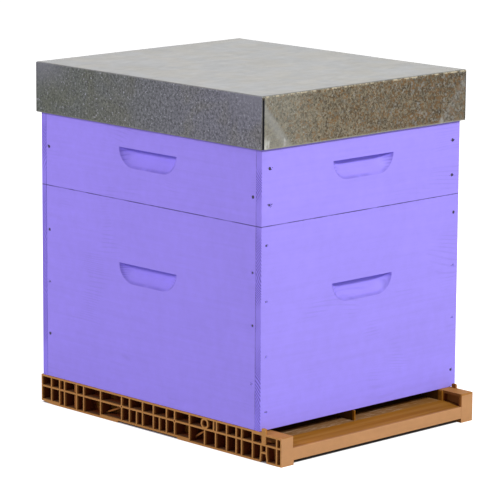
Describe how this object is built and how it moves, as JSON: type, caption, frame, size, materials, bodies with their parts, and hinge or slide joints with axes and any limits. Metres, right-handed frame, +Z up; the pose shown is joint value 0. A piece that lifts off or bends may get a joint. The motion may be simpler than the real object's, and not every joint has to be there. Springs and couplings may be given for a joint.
{
  "type": "dadant beehive",
  "caption": "Square wooden beehive on a ribbed plastic floor with a sloping landing sill, a brood box, a super, hanging wax frames, a crown board and a flat folded metal roof.",
  "frame": {"origin": "on the ground, under the middle of the space that the whole hive takes up", "axes": "+Z up, -Y out of the entrance, +X to the right of someone facing the entrance from the front"},
  "size_m": [0.442, 0.553, 0.5518],
  "materials": {
    "painted_wood": "violet paint over softwood boards, faint grain",
    "frame_wood": "planed softwood",
    "crown_wood": "planed softwood board",
    "plug_wood": "turned wood",
    "lining_board": "wood fibre board",
    "roof_zinc": "galvanised sheet with spangle and rust specks",
    "runner_zinc": "bright zinc",
    "nail_steel": "dark oxidised steel",
    "wax": "embossed beeswax",
    "floor_plastic": "ochre brown moulded plastic, satin",
    "tray_plastic": "pale plastic"
  },
  "bodies": {
    "floor": {"floor_left_rail": "floor_plastic", "floor_right_rail": "floor_plastic", "landing_board": "floor_plastic", "rear_crossbar": "floor_plastic", "vent_grid": "floor_plastic"},
    "tray": {"inspection_tray": "tray_plastic"},
    "brood_box": {"brood_front_board": "painted_wood", "brood_back_board": "painted_wood", "brood_left_board": "painted_wood", "brood_right_board": "painted_wood", "brood_nails": "nail_steel", "brood_front_runner": "runner_zinc", "brood_back_runner": "runner_zinc", "brood_runner_tacks": "nail_steel", "brood_top_bars": "frame_wood", "brood_side_bars": "frame_wood", "brood_bottom_bars": "frame_wood", "brood_wax_sheets": "wax"},
    "brood_lift_frame": {"brood_lift_frame_top_bar": "frame_wood", "brood_lift_frame_side_bar": "frame_wood", "brood_lift_frame_bottom_bar": "frame_wood", "brood_lift_frame_wax_sheet": "wax"},
    "super_box": {"super_front_board": "painted_wood", "super_back_board": "painted_wood", "super_left_board": "painted_wood", "super_right_board": "painted_wood", "super_nails": "nail_steel", "super_front_runner": "runner_zinc", "super_back_runner": "runner_zinc", "super_runner_tacks": "nail_steel", "super_top_bars": "frame_wood", "super_side_bars": "frame_wood", "super_bottom_bars": "frame_wood", "super_wax_sheets": "wax"},
    "super_lift_frame": {"super_lift_frame_top_bar": "frame_wood", "super_lift_frame_side_bar": "frame_wood", "super_lift_frame_bottom_bar": "frame_wood", "super_lift_frame_wax_sheet": "wax"},
    "crown_board": {"crown_panel": "crown_wood", "crown_cross_battens": "crown_wood", "crown_long_battens": "crown_wood"},
    "plug": {"feed_plug": "plug_wood"},
    "roof": {"roof_lining": "lining_board", "roof_sheet": "roof_zinc"}
  },
  "joints": [
    {"name": "tray_slide", "type": "slide", "parent": "floor", "child": "tray", "axis": [0, 1, 0], "range_m": [0, 0.4]},
    {"name": "brood_box_lift", "type": "slide", "parent": "floor", "child": "brood_box", "axis": [0, 0, 1], "range_m": [0, 0.15]},
    {"name": "super_lift", "type": "slide", "parent": "brood_box", "child": "super_box", "axis": [0, 0, 1], "range_m": [0, 0.38]},
    {"name": "crown_board_lift", "type": "slide", "parent": "super_box", "child": "crown_board", "axis": [0, 0, 1], "range_m": [0, 0.22]},
    {"name": "roof_lift", "type": "slide", "parent": "crown_board", "child": "roof", "axis": [0, 0, 1], "range_m": [0, 0.2]},
    {"name": "feed_plug_lift", "type": "slide", "parent": "crown_board", "child": "plug", "axis": [0, 0, 1], "range_m": [0, 0.06]},
    {"name": "brood_frame_lift", "type": "slide", "parent": "brood_box", "child": "brood_lift_frame", "axis": [0, 0, 1], "range_m": [0, 0.323]},
    {"name": "super_frame_lift", "type": "slide", "parent": "super_box", "child": "super_lift_frame", "axis": [0, 0, 1], "range_m": [0, 0.176]}
  ],
  "couplings": [
    {"joint": "feed_plug_lift", "follows": "roof_lift", "ratio": 0.3},
    {"joint": "brood_frame_lift", "follows": "super_lift", "ratio": 0.85},
    {"joint": "super_frame_lift", "follows": "crown_board_lift", "ratio": 0.8}
  ]
}
